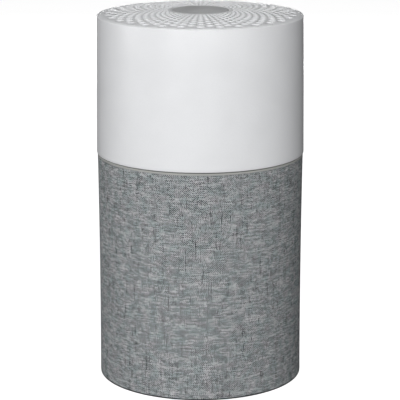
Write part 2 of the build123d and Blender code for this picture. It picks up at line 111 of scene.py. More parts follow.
class GrilleSettings(bpy.types.PropertyGroup):
    dome_rise: length("Dome rise", "Height of the dome's middle over the housing's rim", 5.0 * MM)
    thickness: length("Thickness", "Thickness of the perforated dome", 2.5 * MM)
    margin: length("Margin", "Solid band outside the outermost holes", 4.73 * MM)
    hole_edge: length("Hole edge", "Chamfer round each hole", 0.16 * MM)
    seam: length("Seam", "Gap between the grille and the housing's lip", 0.08 * MM)
    holes_per_ring: bpy.props.IntProperty(
        name="Holes per ring", description="Holes in each ring", default=31, min=8, max=60,
    )
    rings: bpy.props.IntProperty(
        name="Rings", description="Rings of holes", default=17, min=1, max=30,
    )
    ring_ratio: bpy.props.FloatProperty(
        name="Ring ratio", description="Radius of a ring over that of the next one inside it",
        default=1.0647,
    )
    hole_share: bpy.props.FloatProperty(
        name="Hole share", description="Hole radius over the radius of its ring", default=0.0427,
    )


class ButtonSettings(bpy.types.PropertyGroup):
    crown: length("Crown", "How far the button's middle stands over its edge", 0.35 * MM)
    edge: length("Edge", "Rounding of the button's upper edge", 0.8 * MM)
    cap_colour: colour("Cap", "Grey of the button", "#BBBCBD")


class SleeveSettings(bpy.types.PropertyGroup):
    thickness: length("Cloth thickness", "Thickness of the woven cloth", 1.0 * MM)
    waist: length("Waist", "How far the cloth draws in at mid height", 0.8 * MM)
    foot_draw: length("Foot draw", "How far the cloth draws in at the floor", 0.5 * MM)
    rib_sag: length("Rib sag", "How far the cloth sinks between the cage's ribs", 0.1 * MM)
    thread_pitch: length("Thread pitch", "Distance between neighbouring threads", 0.94 * MM)
    warp_slub: length("Warp slub", "Length over which an upright thread keeps its tone", 22 * MM)
    weft_slub: length("Weft slub", "Length over which a level thread keeps its tone", 9 * MM)
    fleck: bpy.props.FloatProperty(
        name="Fleck", description="Share of each float's tone that is its own", default=0.25,
        min=0.0, max=1.0,
    )
    seam_width: length("Seam width", "Width of the folded seam at the back", 7.0 * MM)
    stitch: length("Stitch", "Length of one stitch of the seam", 3.2 * MM)
    ribs: bpy.props.IntProperty(
        name="Ribs", description="Ribs of the cage under the cloth", default=24, min=3,
    )
    dark_thread: colour("Dark thread", "Darkest threads of the cloth", "#1D2123")
    light_thread: colour("Light thread", "Lightest threads of the cloth", "#D6D9DB")


class StageSettings(bpy.types.PropertyGroup):
    camera_distance: length("Camera distance", "From the axis to the camera, along the floor", 1.8266)
    camera_aside: length("Camera aside", "How far the camera stands to the left of the axis", 0.26 * MM)
    camera_height: length("Camera height", "Camera above the floor", 0.6203)
    camera_tilt: bpy.props.FloatProperty(
        name="Camera tilt", description="How far the camera looks down", default=math.radians(13.8),
        subtype="ANGLE",
    )
    focal_length: bpy.props.FloatProperty(
        name="Focal length", description="Lens in millimetres on a 36 mm sensor", default=173.3,
    )


# ---- Mesh helpers ----

def turned(corners, steps=192, closed=True):
    """Mesh spun about the Z axis from (radius, height) corners in metres."""
    bm = bmesh.new()
    verts = [bm.verts.new((radius, 0.0, height)) for radius, height in corners]
    pairs = list(zip(verts, verts[1:])) + ([(verts[-1], verts[0])] if closed else [])
    edges = [bm.edges.new(pair) for pair in pairs]
    bmesh.ops.spin(
        bm, geom=verts + edges, cent=(0, 0, 0), axis=(0, 0, 1), angle=math.tau, steps=steps, use_merge=True
    )
    bmesh.ops.remove_doubles(bm, verts=bm.verts, dist=1e-7)
    bmesh.ops.recalc_face_normals(bm, faces=bm.faces)
    return bm


def soften(bm, width, segments=2, angle=35.0, keep=lambda edge: True):
    """Rounds the edges that turn by more than an angle in degrees."""
    limit = math.radians(angle)
    sharp = [e for e in bm.edges if e.is_manifold and e.calc_face_angle(0.0) > limit and keep(e)]
    bmesh.ops.bevel(
        bm, geom=sharp, offset=width, segments=segments, profile=0.5, affect="EDGES", material=-1
    )


def arc(centre, radius, start, end, count):
    """Points on an arc in the (radius, height) plane, angles in degrees."""
    steps = [math.radians(start + (end - start) * i / count) for i in range(count + 1)]
    return [(centre[0] + radius * math.cos(a), centre[1] + radius * math.sin(a)) for a in steps]


def finish_piece(bm, name, body, finish, nodes=(), sharp=40.0):
    """Makes the finished object of a mesh, with its body, finish and the CAD nodes it stands for."""
    for face in bm.faces:
        face.smooth = True
    limit = math.radians(sharp)
    for edge in bm.edges:
        edge.smooth = edge.calc_face_angle(0.0) < limit
    mesh = bpy.data.meshes.new(name)
    bm.to_mesh(mesh)
    bm.free()
    mesh.materials.append(finish)
    piece = bpy.data.objects.new(name, mesh)
    bpy.context.scene.collection.objects.link(piece)
    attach(piece, body)
    if nodes:
        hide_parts(*nodes)
    return piece


# ---- Materials ----

def new_material(name):
    """A material with a Principled shader; returns it, its node tree and the shader."""
    made = bpy.data.materials.new(name)
    made.use_nodes = True
    return made, made.node_tree, made.node_tree.nodes["Principled BSDF"]


def add_node(tree, kind, settings=None, links=None):
    """Adds a node. A key is an input's name or number, or else an attribute; a link comes from either
    a socket or a node, and a node stands for its first output."""
    made = tree.nodes.new(kind)
    for key, value in (settings or {}).items():
        if isinstance(key, int) or key in made.inputs:
            made.inputs[key].default_value = value
        else:
            setattr(made, key, value)
    for key, source in (links or {}).items():
        socket = source.outputs[0] if isinstance(source, bpy.types.Node) else source
        tree.links.new(socket, made.inputs[key])
    return made


def moulded(name, tint, roughness, grain=0.6 * MM, relief=0.01 * MM, variation=0.03, gloss=0.5):
    """Moulded, cast or pressed surface: an even colour, a faint texture and slightly uneven gloss."""
    made, tree, shader = new_material(name)
    place = add_node(tree, "ShaderNodeTexCoord").outputs["Object"]
    texture = add_node(tree, "ShaderNodeTexNoise", {"Scale": 1 / grain, "Detail": 3.0}, {"Vector": place})
    drift = add_node(tree, "ShaderNodeTexNoise", {"Scale": 1 / (30 * MM), "Detail": 2.0}, {"Vector": place})
    mottle = add_node(
        tree, "ShaderNodeMath", {"operation": "MULTIPLY"}, {0: drift, 1: texture}
    )
    tone = add_node(
        tree, "ShaderNodeMapRange",
        {"From Min": 0.15, "From Max": 0.35, "To Min": 1 - variation, "To Max": 1.0}, {"Value": mottle},
    )
    paint = add_node(
        tree, "ShaderNodeMix", {"data_type": "RGBA", "blend_type": "MULTIPLY", 0: 1.0, 6: (*tint, 1.0)},
        {7: tone},
    )
    uneven = add_node(
        tree, "ShaderNodeMapRange", {"To Min": roughness - 0.04, "To Max": min(1.0, roughness + 0.05)},
        {"Value": drift},
    )
    bump = add_node(tree, "ShaderNodeBump", {"Strength": 0.5, "Distance": relief}, {"Height": texture})
    tree.links.new(paint.outputs[2], shader.inputs["Base Color"])
    tree.links.new(uneven.outputs[0], shader.inputs["Roughness"])
    tree.links.new(bump.outputs[0], shader.inputs["Normal"])
    shader.inputs["Specular IOR Level"].default_value = gloss
    return made


def plated(name, tint, roughness, grain=0.3 * MM):
    """Bare or plated metal: clear reflections, broken up by fine machining marks."""
    made, tree, shader = new_material(name)
    place = add_node(tree, "ShaderNodeTexCoord").outputs["Object"]
    marks = add_node(tree, "ShaderNodeTexNoise", {"Scale": 1 / grain, "Detail": 4.0}, {"Vector": place})
    spread = add_node(
        tree, "ShaderNodeMapRange", {"To Min": roughness - 0.08, "To Max": roughness + 0.1},
        {"Value": marks},
    )
    tree.links.new(spread.outputs[0], shader.inputs["Roughness"])
    shader.inputs["Base Color"].default_value = (*tint, 1.0)
    shader.inputs["Metallic"].default_value = 1.0
    return made


def woven_heather(settings):
    """Plain-weave polyester of heathered yarn."""
    # Matt cloth. Each thread changes tone along its length, so the eye sees fine light and dark streaks
    # both ways and a small checker where upright and level threads differ. The threads are drawn at
    # 0.94 mm, coarser than the real ones, so that they show.
    made, tree, shader = new_material("plain_weave_heather_polyester")
    pitch = settings.thread_pitch
    flat = add_node(tree, "ShaderNodeUVMap", {"uv_map": "cloth"})
    # Threads stray sideways by a tenth of their pitch.
    wander = add_node(tree, "ShaderNodeTexNoise", {"Scale": 1 / (14 * MM), "Detail": 1.0}, {"Vector": flat})
    centred = add_node(
        tree, "ShaderNodeVectorMath", {"operation": "SUBTRACT", 1: (0.5, 0.5, 0.5)}, {0: wander.outputs[1]}
    )
    place = add_node(
        tree, "ShaderNodeVectorMath", {"operation": "MULTIPLY_ADD", 1: (0.2 * pitch,) * 3},
        {0: centred, 2: flat},
    )
    axis = add_node(tree, "ShaderNodeSeparateXYZ", {}, {0: place})
    tones, sides, numbers = [], [], []
    for across, along, seed, slub, darkest in (
        ("X", "Y", 0.5, settings.warp_slub, 0.3), ("Y", "X", 9.5, settings.weft_slub, 0.46),
    ):
        count = add_node(
            tree, "ShaderNodeMath", {"operation": "DIVIDE", 1: pitch}, {0: axis.outputs[across]}
        )
        number = add_node(tree, "ShaderNodeMath", {"operation": "FLOOR"}, {0: count})
        share = add_node(tree, "ShaderNodeMath", {"operation": "FRACT"}, {0: count})
        # Each thread has a line of noise of its own, which gives its slubs and dyed lengths.
        thread = add_node(
            tree, "ShaderNodeMath", {"operation": "MULTIPLY", 1: 7.31}, {0: number}
        )
        distance = add_node(
            tree, "ShaderNodeMath", {"operation": "DIVIDE", 1: slub}, {0: axis.outputs[along]}
        )
        line = add_node(tree, "ShaderNodeCombineXYZ", {"Z": seed}, {"X": thread, "Y": distance})
        noise = add_node(
            tree, "ShaderNodeTexNoise", {"Scale": 1.0, "Detail": 3.0, "Roughness": 0.65}, {"Vector": line}
        )
        tones.append(add_node(
            tree, "ShaderNodeMapRange", {"From Min": darkest, "From Max": darkest + 0.15}, {"Value": noise}
        ))
        turn = add_node(tree, "ShaderNodeMath", {"operation": "MULTIPLY", 1: math.pi}, {0: share})
        sides.append(add_node(tree, "ShaderNodeMath", {"operation": "SINE"}, {0: turn}))
        numbers.append(number)
    total = add_node(tree, "ShaderNodeMath", {"operation": "ADD"}, {0: numbers[0], 1: numbers[1]})
    weft_on_top = add_node(
        tree, "ShaderNodeMath", {"operation": "FLOORED_MODULO", 1: 2.0}, {0: total}
    )
    heights = []
    for own, other in (sides, reversed(sides)):
        # A thread is round across and dips at both ends of its float.
        arch = add_node(
            tree, "ShaderNodeMath", {"operation": "MULTIPLY_ADD", 1: 0.45, 2: 0.55}, {0: other}
        )
        heights.append(add_node(tree, "ShaderNodeMath", {"operation": "MULTIPLY"}, {0: own, 1: arch}))
    tone = add_node(
        tree, "ShaderNodeMix", {"data_type": "FLOAT"}, {0: weft_on_top, 2: tones[0], 3: tones[1]}
    )
    height = add_node(
        tree, "ShaderNodeMix", {"data_type": "FLOAT"}, {0: weft_on_top, 2: heights[0], 3: heights[1]}
    )
    # Every float of the weave has its own share of dark fibres.
    float_number = add_node(tree, "ShaderNodeCombineXYZ", {}, {"X": numbers[0], "Y": numbers[1]})
    fleck = add_node(
        tree, "ShaderNodeTexWhiteNoise", {"noise_dimensions": "2D"}, {"Vector": float_number}
    )
    mixed_fibre = add_node(tree, "ShaderNodeMapRange", {"From Min": 0.3, "From Max": 0.7}, {"Value": fleck})
    flecked = add_node(
        tree, "ShaderNodeMix", {"data_type": "FLOAT", 0: settings.fleck}, {2: tone, 3: mixed_fibre}
    )
    yarn = add_node(
        tree, "ShaderNodeMix",
        {"data_type": "RGBA", 6: (*settings.dark_thread, 1.0), 7: (*settings.light_thread, 1.0)},
        {0: flecked},
    )
    # Cool darker and warm lighter patches, about a centimetre across.
    lot = add_node(tree, "ShaderNodeTexNoise", {"Scale": 1 / (9 * MM), "Detail": 2.0}, {"Vector": flat})
    share = add_node(tree, "ShaderNodeMapRange", {"From Min": 0.35, "From Max": 0.65}, {"Value": lot})
    dye = add_node(
        tree, "ShaderNodeMix",
        {"data_type": "RGBA", 6: (*srgb("#DFE8E7"), 1.0), 7: (*srgb("#FFFBFC"), 1.0)}, {0: share},
    )
    dyed = add_node(
        tree, "ShaderNodeMix", {"data_type": "RGBA", "blend_type": "MULTIPLY", 0: 1.0},
        {6: yarn.outputs[2], 7: dye.outputs[2]},
    )
    # Painted shade: the colour is darkened in the hollows between the threads and lifted a little on their
    # crowns, following the weave's height.
    painted_weave_shade = add_node(tree, "ShaderNodeMapRange", {"To Min": 0.55, "To Max": 1.08}, {"Value": height})
    shaded = add_node(
        tree, "ShaderNodeMix", {"data_type": "RGBA", "blend_type": "MULTIPLY", 0: 1.0},
        {6: dyed.outputs[2], 7: painted_weave_shade},
    )
    bump = add_node(tree, "ShaderNodeBump", {"Strength": 0.8, "Distance": 0.2 * MM}, {"Height": height})
    tree.links.new(shaded.outputs[2], shader.inputs["Base Color"])
    tree.links.new(bump.outputs[0], shader.inputs["Normal"])
    shader.inputs["Roughness"].default_value = 0.9
    shader.inputs["Specular IOR Level"].default_value = 0.12
    return made


# ---- Pieces ----

def dome_height(radius):
    """Height of the domed top at a distance from the axis."""
    grille = bpy.context.scene.purifier_grille
    housing = bpy.context.scene.purifier_housing
    rim = HOUSING_HIGH[0] - housing.draft
    sphere = (rim ** 2 + grille.dome_rise ** 2) / (2 * grille.dome_rise)
    return BUTTON_HIGH[2] - sphere + math.sqrt(sphere ** 2 - radius ** 2)


class PURIFIER_OT_housing(bpy.types.Operator):
    """Moulded housing with its rounded rim, inner ledge and the cord's hole at the back"""
    bl_idname = "purifier.housing"
    bl_label = "Housing"

    def execute(self, context):
        settings = context.scene.purifier_housing
        foot, seam = HOUSING_HIGH[0], HOUSING_LOW[2]
        rim = foot - settings.draft
        shoulder = rim - settings.rounding
        centre = (shoulder, dome_height(shoulder) - settings.rounding)
        lip = rim - settings.lip
        ledge = GRILLE_LOW[2] + GRILLE_LEDGE
        gland = (GLAND_LOW[2] + GLAND_HIGH[2]) / 2

        def side(height, inset):
            """Point of the wall's sloping side, moved inwards by an inset."""
            share = (height - seam) / (centre[1] - seam)
            return (foot - settings.draft * share - inset, height)

        # Rings of edges above and below the cord's hole, and two more up to the rim.
        levels = [seam, gland - 9 * MM, gland + 9 * MM, seam + 60 * MM, seam + 95 * MM]
        outline = [side(z, 0.0) for z in levels] + arc(centre, settings.rounding, 0.0, 90.0, 8)
        outline += [(lip, dome_height(lip)), (lip, ledge), (lip - LEDGE_WIDTH, ledge)]
        outline += [(lip - LEDGE_WIDTH, ledge - LEDGE_THICKNESS)]
        slope_end = ledge - LEDGE_THICKNESS - LEDGE_WIDTH
        outline += [side(z, settings.wall) for z in [slope_end, *reversed(levels)]]
        bm = turned(outline, steps=240)
        soften(bm, settings.edge, keep=lambda e: abs(e.verts[0].co.z - seam) < 1e-5)
        # ABS from a polished mould: a clean white with soft, broad reflections of the lights.
        shell = moulded("gloss_moulded_white_abs", settings.shell_colour, 0.34, grain=0.9 * MM)
        piece = finish_piece(bm, "housing", "upper_unit", shell, ["housing_shell"])
        bore_through(piece, gland, GLAND_HIGH[0] - GLAND_COLLAR + 0.05 * MM, HOUSING_HIGH[1])
        return {"FINISHED"}


def bore_through(piece, height, radius, face):
    """Cuts the cord's round hole through the back wall."""
    bm = bmesh.new()
    bmesh.ops.create_cone(
        bm, cap_ends=True, segments=48, radius1=radius, radius2=radius, depth=20 * MM,
        matrix=Matrix.Translation((0, face, height)) @ Matrix.Rotation(math.pi / 2, 4, "X"),
    )
    mesh = bpy.data.meshes.new("hole_cutter")
    bm.to_mesh(mesh)
    bm.free()
    cutter = bpy.data.objects.new("hole_cutter", mesh)
    bpy.context.scene.collection.objects.link(cutter)
    cut = piece.modifiers.new("cord_hole", "BOOLEAN")
    cut.operation = "DIFFERENCE"
    cut.solver = "EXACT"
    cut.object = cutter
    bpy.context.view_layer.update()
    graph = bpy.context.evaluated_depsgraph_get()
    result = bpy.data.meshes.new_from_object(piece.evaluated_get(graph))
    piece.modifiers.clear()
    piece.data = result
    bpy.data.objects.remove(cutter)


class PURIFIER_OT_grille(bpy.types.Operator):
    """Domed grille whose staggered rings of round holes shrink evenly towards the button"""
    bl_idname = "purifier.grille"
    bl_label = "Grille"

    def execute(self, context):
        settings = context.scene.purifier_grille
        step = math.log(settings.ring_ratio)
        pitch = math.tau / settings.holes_per_ring
        housing = context.scene.purifier_housing
        rim = HOUSING_HIGH[0] - housing.draft - housing.lip - settings.seam
        well = BUTTON_HIGH[0] + BUTTON_GAP
        outermost = (GRILLE_HIGH[0] - settings.margin) / (1 + settings.hole_share)
        outer_line = math.log(outermost) + step
        inner_line = outer_line - step * (settings.rings + 1)
        pierced = pattern_cell(step, pitch, settings.hole_share)
        plain = pattern_cell(step, pitch, 0.0)
        bm = bmesh.new()
        # The pattern is laid out flat, log radius across and angle along, where every cell is alike.
        for ring in range(settings.rings + 2):
            cell = plain if ring in (0, settings.rings + 1) else pierced
            for place in range(settings.holes_per_ring):
                old = len(bm.verts)
                bm.from_mesh(cell)
                bm.verts.ensure_lookup_table()
                angle = pitch * (place + (ring + 1) % 2 / 2) - math.pi / 2
                bmesh.ops.translate(bm, verts=bm.verts[old:], vec=(outer_line - step * ring, angle, 0))
        bmesh.ops.remove_doubles(bm, verts=bm.verts, dist=1e-5)
        for line, side in ((outer_line, 1), (inner_line, -1)):
            bmesh.ops.bisect_plane(
                bm, geom=[*bm.verts, *bm.edges, *bm.faces], plane_co=(line, 0, 0),
                plane_no=(side, 0, 0), clear_outer=True, dist=1e-6,
            )
        for vert in bm.verts:
            radius, angle = math.exp(vert.co.x), vert.co.y
            vert.co = (radius * math.cos(angle), radius * math.sin(angle), 0.0)
        bmesh.ops.remove_doubles(bm, verts=bm.verts, dist=1e-7)
        widen_border(bm, math.exp(outer_line), rim)
        widen_border(bm, math.exp(inner_line), well)
        for vert in bm.verts:
            vert.co.z = dome_height(vert.co.xy.length)
        drop_border(bm, rim, SKIRT_DEPTH)
        drop_border(bm, well, COLLAR_DEPTH)
        bmesh.ops.recalc_face_normals(bm, faces=bm.faces)
        if max(bm.faces, key=lambda face: face.calc_center_median().z).normal.z < 0:
            bmesh.ops.reverse_faces(bm, faces=bm.faces)
        bmesh.ops.solidify(bm, geom=bm.faces, thickness=settings.thickness)
        soften(bm, settings.hole_edge, segments=1, angle=60.0, keep=on_top)
        shell = bpy.data.materials["gloss_moulded_white_abs"]
        finish_piece(bm, "grille", "upper_unit", shell, ["top_grille"], sharp=50.0)
        return {"FINISHED"}


def pattern_cell(step, pitch, hole):
    """One diamond cell of the pattern, with its round hole or plain."""
    bm = bmesh.new()
    bmesh.ops.create_circle(bm, segments=4, radius=1.0)
    bmesh.ops.scale(bm, verts=bm.verts, vec=(step, pitch / 2, 1.0))
    bmesh.ops.subdivide_edges(bm, edges=bm.edges, cuts=3)
    if hole:
        bmesh.ops.create_circle(bm, segments=16, radius=hole)
        bmesh.ops.bridge_loops(bm, edges=bm.edges)
    else:
        bmesh.ops.contextual_create(bm, geom=bm.edges)
        bmesh.ops.poke(bm, faces=bm.faces)
    mesh = bpy.data.meshes.new("pattern_cell")
    bm.to_mesh(mesh)
    bm.free()
    return mesh


def border_edges(bm, radius):
    """Open edges that lie on a circle about the axis."""
    return [
        edge for edge in bm.edges
        if edge.is_boundary and all(abs(vert.co.xy.length - radius) < 0.02 * MM for vert in edge.verts)
    ]


def widen_border(bm, radius, target):
    """Grows a plain band from a circular border to a target radius."""
    made = bmesh.ops.extrude_edge_only(bm, edges=border_edges(bm, radius))["geom"]
    for vert in (item for item in made if isinstance(item, bmesh.types.BMVert)):
        vert.co.xy = vert.co.xy.normalized() * target


def drop_border(bm, radius, depth):
    """Turns a circular border down into a skirt."""
    made = bmesh.ops.extrude_edge_only(bm, edges=border_edges(bm, radius))["geom"]
    verts = [item for item in made if isinstance(item, bmesh.types.BMVert)]
    bmesh.ops.translate(bm, verts=verts, vec=(0, 0, -depth))


def on_top(edge):
    """True for an edge on the dome's upper face."""
    return all(vert.co.z > dome_height(vert.co.xy.length) - 0.2 * MM for vert in edge.verts)


class PURIFIER_OT_button(bpy.types.Operator):
    """Round push button in the middle of the grille, slightly crowned, with a skirt and a post"""
    bl_idname = "purifier.button"
    bl_label = "Button"

    def execute(self, context):
        settings = context.scene.purifier_button
        radius, top = BUTTON_HIGH[0], BUTTON_HIGH[2]
        under, skirt, post_end = top - BUTTON_PLATE, BUTTON_LOW[2], SWITCH_HIGH[2] + BUTTON_REACH
        edge_top = top - settings.crown
        shares = (0.0, 0.25, 0.5, 0.75, 0.9)
        crown = [(radius * share, top - settings.crown * share ** 2) for share in shares]
        outline = crown + arc(
            (radius - settings.edge, edge_top - settings.edge), settings.edge, 80.0, 0.0, 6
        )
        inner = radius - BUTTON_SKIRT
        outline += [(radius, skirt), (inner, skirt), (inner, under)]
        outline += [(BUTTON_POST, under), (BUTTON_POST, post_end), (0.0, post_end)]
        bm = turned(outline, steps=128, closed=False)
        # ABS from a finely eroded mould: a satin grey that looks slightly mottled.
        cap = moulded(
            "fine_grained_grey_abs", settings.cap_colour, 0.5, grain=0.9 * MM, relief=0.03 * MM,
            variation=0.25,
        )
        finish_piece(bm, "button", "button", cap, ["button_cap"])
        return {"FINISHED"}


class PURIFIER_OT_top_ring(bpy.types.Operator):
    """Ring that ends the sleeve under the housing"""
    bl_idname = "purifier.top_ring"
    bl_label = "Sleeve Top Ring"

    def execute(self, context):
        outer, low, high = RING_HIGH[0], RING_LOW[2], RING_HIGH[2]
        inner = outer - SLEEVE_RING_WIDTH
        bm = turned([(inner, low), (outer, low), (outer, high), (inner, high)], steps=192)
        soften(bm, 0.5 * MM, segments=3)
        # ABS from a blasted mould: a warm grey line between the housing and the cloth.
        ring = moulded("satin_moulded_taupe_abs", srgb("#ABACA9"), 0.5, variation=0.05)
        finish_piece(bm, "sleeve_ring", "base", ring, ["sleeve_top_ring"])
        return {"FINISHED"}


def sleeve_radius(height, angle, settings):
    """Outside radius of the stretched cloth: drawn in at the waist and sunk a little between ribs."""
    low, high = SLEEVE_LOW[2], SLEEVE_HIGH[2]
    share = (height - low) / (high - low)
    top = SLEEVE_HIGH[0]
    foot, waist = top - settings.foot_draw, top - settings.waist
    bow = foot * (1 - share) * (1 - 2 * share) + top * share * (2 * share - 1)
    bow += waist * 4 * share * (1 - share)
    ends = min(1.0, share * 20, (1 - share) * 20)
    sag = settings.rib_sag * ends * abs(math.sin(angle * settings.ribs / 2))
    return bow - sag


class PURIFIER_OT_sleeve(bpy.types.Operator):
    """Stretched tube of heathered plain weave, with its folded seam and stitches at the back"""
    bl_idname = "purifier.sleeve"
    bl_label = "Fabric Sleeve"

    def execute(self, context):
        settings = context.scene.purifier_sleeve
        low, high, nominal = SLEEVE_LOW[2], SLEEVE_HIGH[2], SLEEVE_HIGH[0]
        levels = 90
        heights = [low + (high - low) * i / levels for i in range(levels + 1)]
        wall = [(nominal, z) for z in heights]
        lining = [(nominal - settings.thickness, z) for z in reversed(heights[::10])]
        bm = turned(wall + lining, steps=288)
        for vert in bm.verts:
            angle = math.atan2(vert.co.y, vert.co.x)
            inset = nominal - vert.co.xy.length
            radius = sleeve_radius(vert.co.z, angle, settings) - inset
            vert.co.xy = vert.co.xy.normalized() * radius
        soften(bm, 0.3 * MM, segments=2, angle=60.0)
        lay_flat(bm, nominal, low)
        cloth = woven_heather(settings)
        piece = finish_piece(
            bm, "sleeve_cloth", "base", cloth, ["fabric_sleeve"], sharp=60.0
        )
        self.hem_band_and_painted_contact_shadow(settings)
        seam = self.seam(settings, cloth)
        stitches = self.stitches(settings)
        return {"FINISHED"}

    def hem_band_and_painted_contact_shadow(self, settings):
        """Dark binding that grips the tray under the cloth's lower edge. It also serves as painted contact
        shadow where the cloth meets the floor.
        """
        outer = SLEEVE_HIGH[0] - settings.foot_draw - 0.15 * MM
        inner, low, high = outer - 0.7 * MM, PADS_LOW[2] + 0.25 * MM, SLEEVE_LOW[2] + 0.5 * MM
        bm = turned([(inner, low), (outer, low), (outer, high), (inner, high)], steps=192)
        soften(bm, 0.15 * MM, segments=2)
        # Tight matt ribbon: a thin dark line where the object meets the floor. It is partly the tray's dark
        # edge and partly painted contact shadow, because the glowing floor shows no shadow there.
        binding_and_painted_shadow = moulded("dark_binding_and_painted_contact_shadow", srgb("#25282A"), 0.9, grain=0.4 * MM, gloss=0.2)
        finish_piece(bm, "sleeve_band_and_painted_contact_shadow", "base", binding_and_painted_shadow)

    def seam(self, settings, cloth):
        """The folded strip where the cloth's two edges meet."""
        rows, columns = 60, 6
        low, high = SLEEVE_LOW[2] + 0.3 * MM, SLEEVE_HIGH[2] - 0.3 * MM
        bm = bmesh.new()
        bmesh.ops.create_grid(bm, x_segments=columns, y_segments=rows, size=1.0)
        for vert in bm.verts:
            height = low + (high - low) * (vert.co.y + 1) / 2
            across = vert.co.x * settings.seam_width / 2
            angle = math.pi / 2 - across / SLEEVE_HIGH[0]
            rise = 0.45 * MM * (1 - vert.co.x ** 4) - 0.1 * MM
            radius = sleeve_radius(height, angle, settings) + rise
            vert.co = (radius * math.cos(angle), radius * math.sin(angle), height)
        bmesh.ops.recalc_face_normals(bm, faces=bm.faces)
        outward = sum(face.normal.y for face in bm.faces)
        if outward < 0:
            bmesh.ops.reverse_faces(bm, faces=bm.faces)
        bmesh.ops.solidify(bm, geom=bm.faces, thickness=0.25 * MM)
        lay_flat(bm, SLEEVE_HIGH[0], SLEEVE_LOW[2])
        return finish_piece(bm, "sleeve_seam", "base", cloth, sharp=60.0)

    def stitches(self, settings):
        """Two rows of thread stitches along the seam."""
        # Twisted polyester: short raised stitches that catch a little light.
        thread = moulded(
            "twisted_polyester_thread", srgb("#8D9193"), 0.7, grain=0.2 * MM, relief=0.05 * MM,
        )
        low, high = SLEEVE_LOW[2] + 4 * MM, SLEEVE_HIGH[2] - 3 * MM
        count = int((high - low) / settings.stitch)
        bm = bmesh.new()
        for side in (-1, 1):
            across = side * settings.seam_width * 0.3
            angle = math.pi / 2 - across / SLEEVE_HIGH[0]
            for index in range(count):
                height = low + settings.stitch * (index + 0.5)
                radius = sleeve_radius(height, angle, settings) + 0.38 * MM
                place = Matrix.Translation((radius * math.cos(angle), radius * math.sin(angle), height))
                size = Matrix.Diagonal((0.28 * MM, 0.22 * MM, settings.stitch * 0.42, 1.0))
                bmesh.ops.create_uvsphere(
                    bm, u_segments=6, v_segments=5, radius=1.0,
                    matrix=place @ Matrix.Rotation(angle - math.pi / 2, 4, "Z") @ size,
                )
        return finish_piece(bm, "seam_stitches", "base", thread, sharp=80.0)


def lay_flat(bm, radius, foot):
    """Gives each face the place it has on the flat cloth, in metres: round the tube, and up it."""
    layer = bm.loops.layers.uv.new("cloth")
    for face in bm.faces:
        middle = face.calc_center_median()
        centre = math.atan2(middle.x, -middle.y)
        for loop in face.loops:
            angle = math.atan2(loop.vert.co.x, -loop.vert.co.y)
            if angle - centre > math.pi:
                angle -= math.tau
            elif centre - angle > math.pi:
                angle += math.tau
            loop[layer].uv = ((angle + math.pi) * radius, loop.vert.co.z - foot)


class PURIFIER_OT_gland(bpy.types.Operator):
    """Soft rubber gland where the power cord leaves the back of the housing"""
    bl_idname = "purifier.gland"
    bl_label = "Cord Gland"

    def execute(self, context):
        start, end = GLAND_LOW[1], GLAND_HIGH[1]
        height = (GLAND_LOW[2] + GLAND_HIGH[2]) / 2
        collar = GLAND_HIGH[0]
        barrel = collar - GLAND_COLLAR
        bore = barrel - GLAND_WALL
        seat = start + GLAND_SEAT
        bm = turned([
            (bore, start), (barrel, start), (barrel, seat - 2 * MM), (collar, seat - 2 * MM),
            (collar, seat), (barrel, seat), (barrel, end), (bore, end),
        ], steps=64)
        soften(bm, 0.35 * MM, segments=3)
        turn = Matrix.Rotation(-math.pi / 2, 4, "X")
        bmesh.ops.transform(bm, matrix=Matrix.Translation((0, 0, height)) @ turn, verts=bm.verts)
        # Moulded rubber: dull near-black with a dusty grain.
        rubber = moulded(
            "moulded_black_rubber", srgb("#2A2B2C"), 0.65, grain=0.3 * MM, relief=0.04 * MM,
        )
        finish_piece(bm, "gland", "upper_unit", rubber, ["cord_gland"])
        return {"FINISHED"}


class PURIFIER_OT_feet(bpy.types.Operator):
    """Round rubber pads under the base tray, with a rounded edge and two grip grooves"""
    bl_idname = "purifier.feet"
    bl_label = "Foot Pads"

    def execute(self, context):
        radius, top = FOOT_RADIUS, PADS_HIGH[2]
        reach = (PADS_HIGH[0] - radius) * math.sqrt(2)
        groove = [(0.0, 0.0)]
        for centre in (3.0 * MM, 6.0 * MM):
            groove += [(centre - 0.5 * MM, 0.0), (centre, 0.45 * MM), (centre + 0.5 * MM, 0.0)]
        outline = groove + arc((radius - 0.5 * MM, 0.5 * MM), 0.5 * MM, -90.0, 0.0, 4)
        outline += [(radius, top), (0.0, top)]
        bm = turned(outline, steps=48, closed=False)
        bmesh.ops.translate(bm, verts=bm.verts, vec=(reach, 0, 0))
        first = [*bm.verts, *bm.edges, *bm.faces]
        quarter = Matrix.Rotation(math.pi / 4, 3, "Z")
        bmesh.ops.rotate(bm, verts=bm.verts, cent=(0, 0, 0), matrix=quarter)
        for turn in (1, 2, 3):
            copy = bmesh.ops.duplicate(bm, geom=first)["geom"]
            verts = [item for item in copy if isinstance(item, bmesh.types.BMVert)]
            spin = Matrix.Rotation(math.pi / 2 * turn, 3, "Z")
            bmesh.ops.rotate(bm, verts=verts, cent=(0, 0, 0), matrix=spin)
        rubber = bpy.data.materials["moulded_black_rubber"]
        finish_piece(bm, "feet", "base", rubber, ["foot_pads"])
        return {"FINISHED"}


